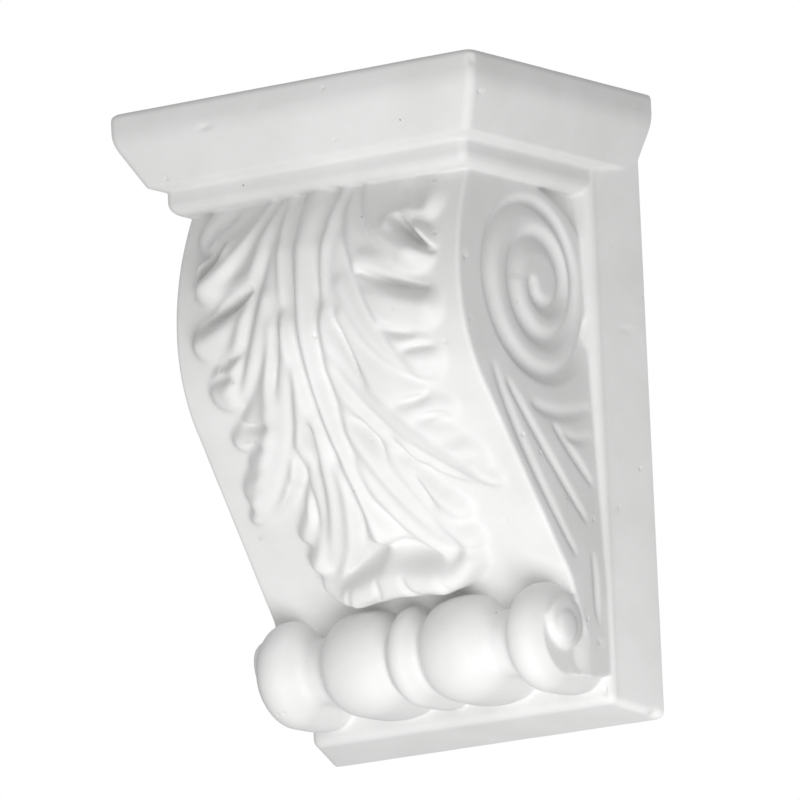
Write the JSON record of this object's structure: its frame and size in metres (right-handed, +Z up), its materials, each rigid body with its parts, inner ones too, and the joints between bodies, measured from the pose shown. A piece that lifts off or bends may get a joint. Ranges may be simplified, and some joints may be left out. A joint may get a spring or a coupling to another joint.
{
  "type": "corbel",
  "caption": "Cast plaster wall corbel with a moulded cap, an acanthus leaf down its bulging front, scrolled sides and a roll of bulbs at its foot.",
  "frame": {"origin": "middle of the flat back, where the corbel meets the wall", "axes": "+Z up, +Y into the wall, so the carved front faces -Y, and +X across to the right as seen from the front"},
  "size_m": [0.175, 0.126, 0.25],
  "materials": {
    "plaster": "matt white cast plaster"
  },
  "bodies": {
    "root": {"corbel": "plaster"}
  },
  "joints": []
}
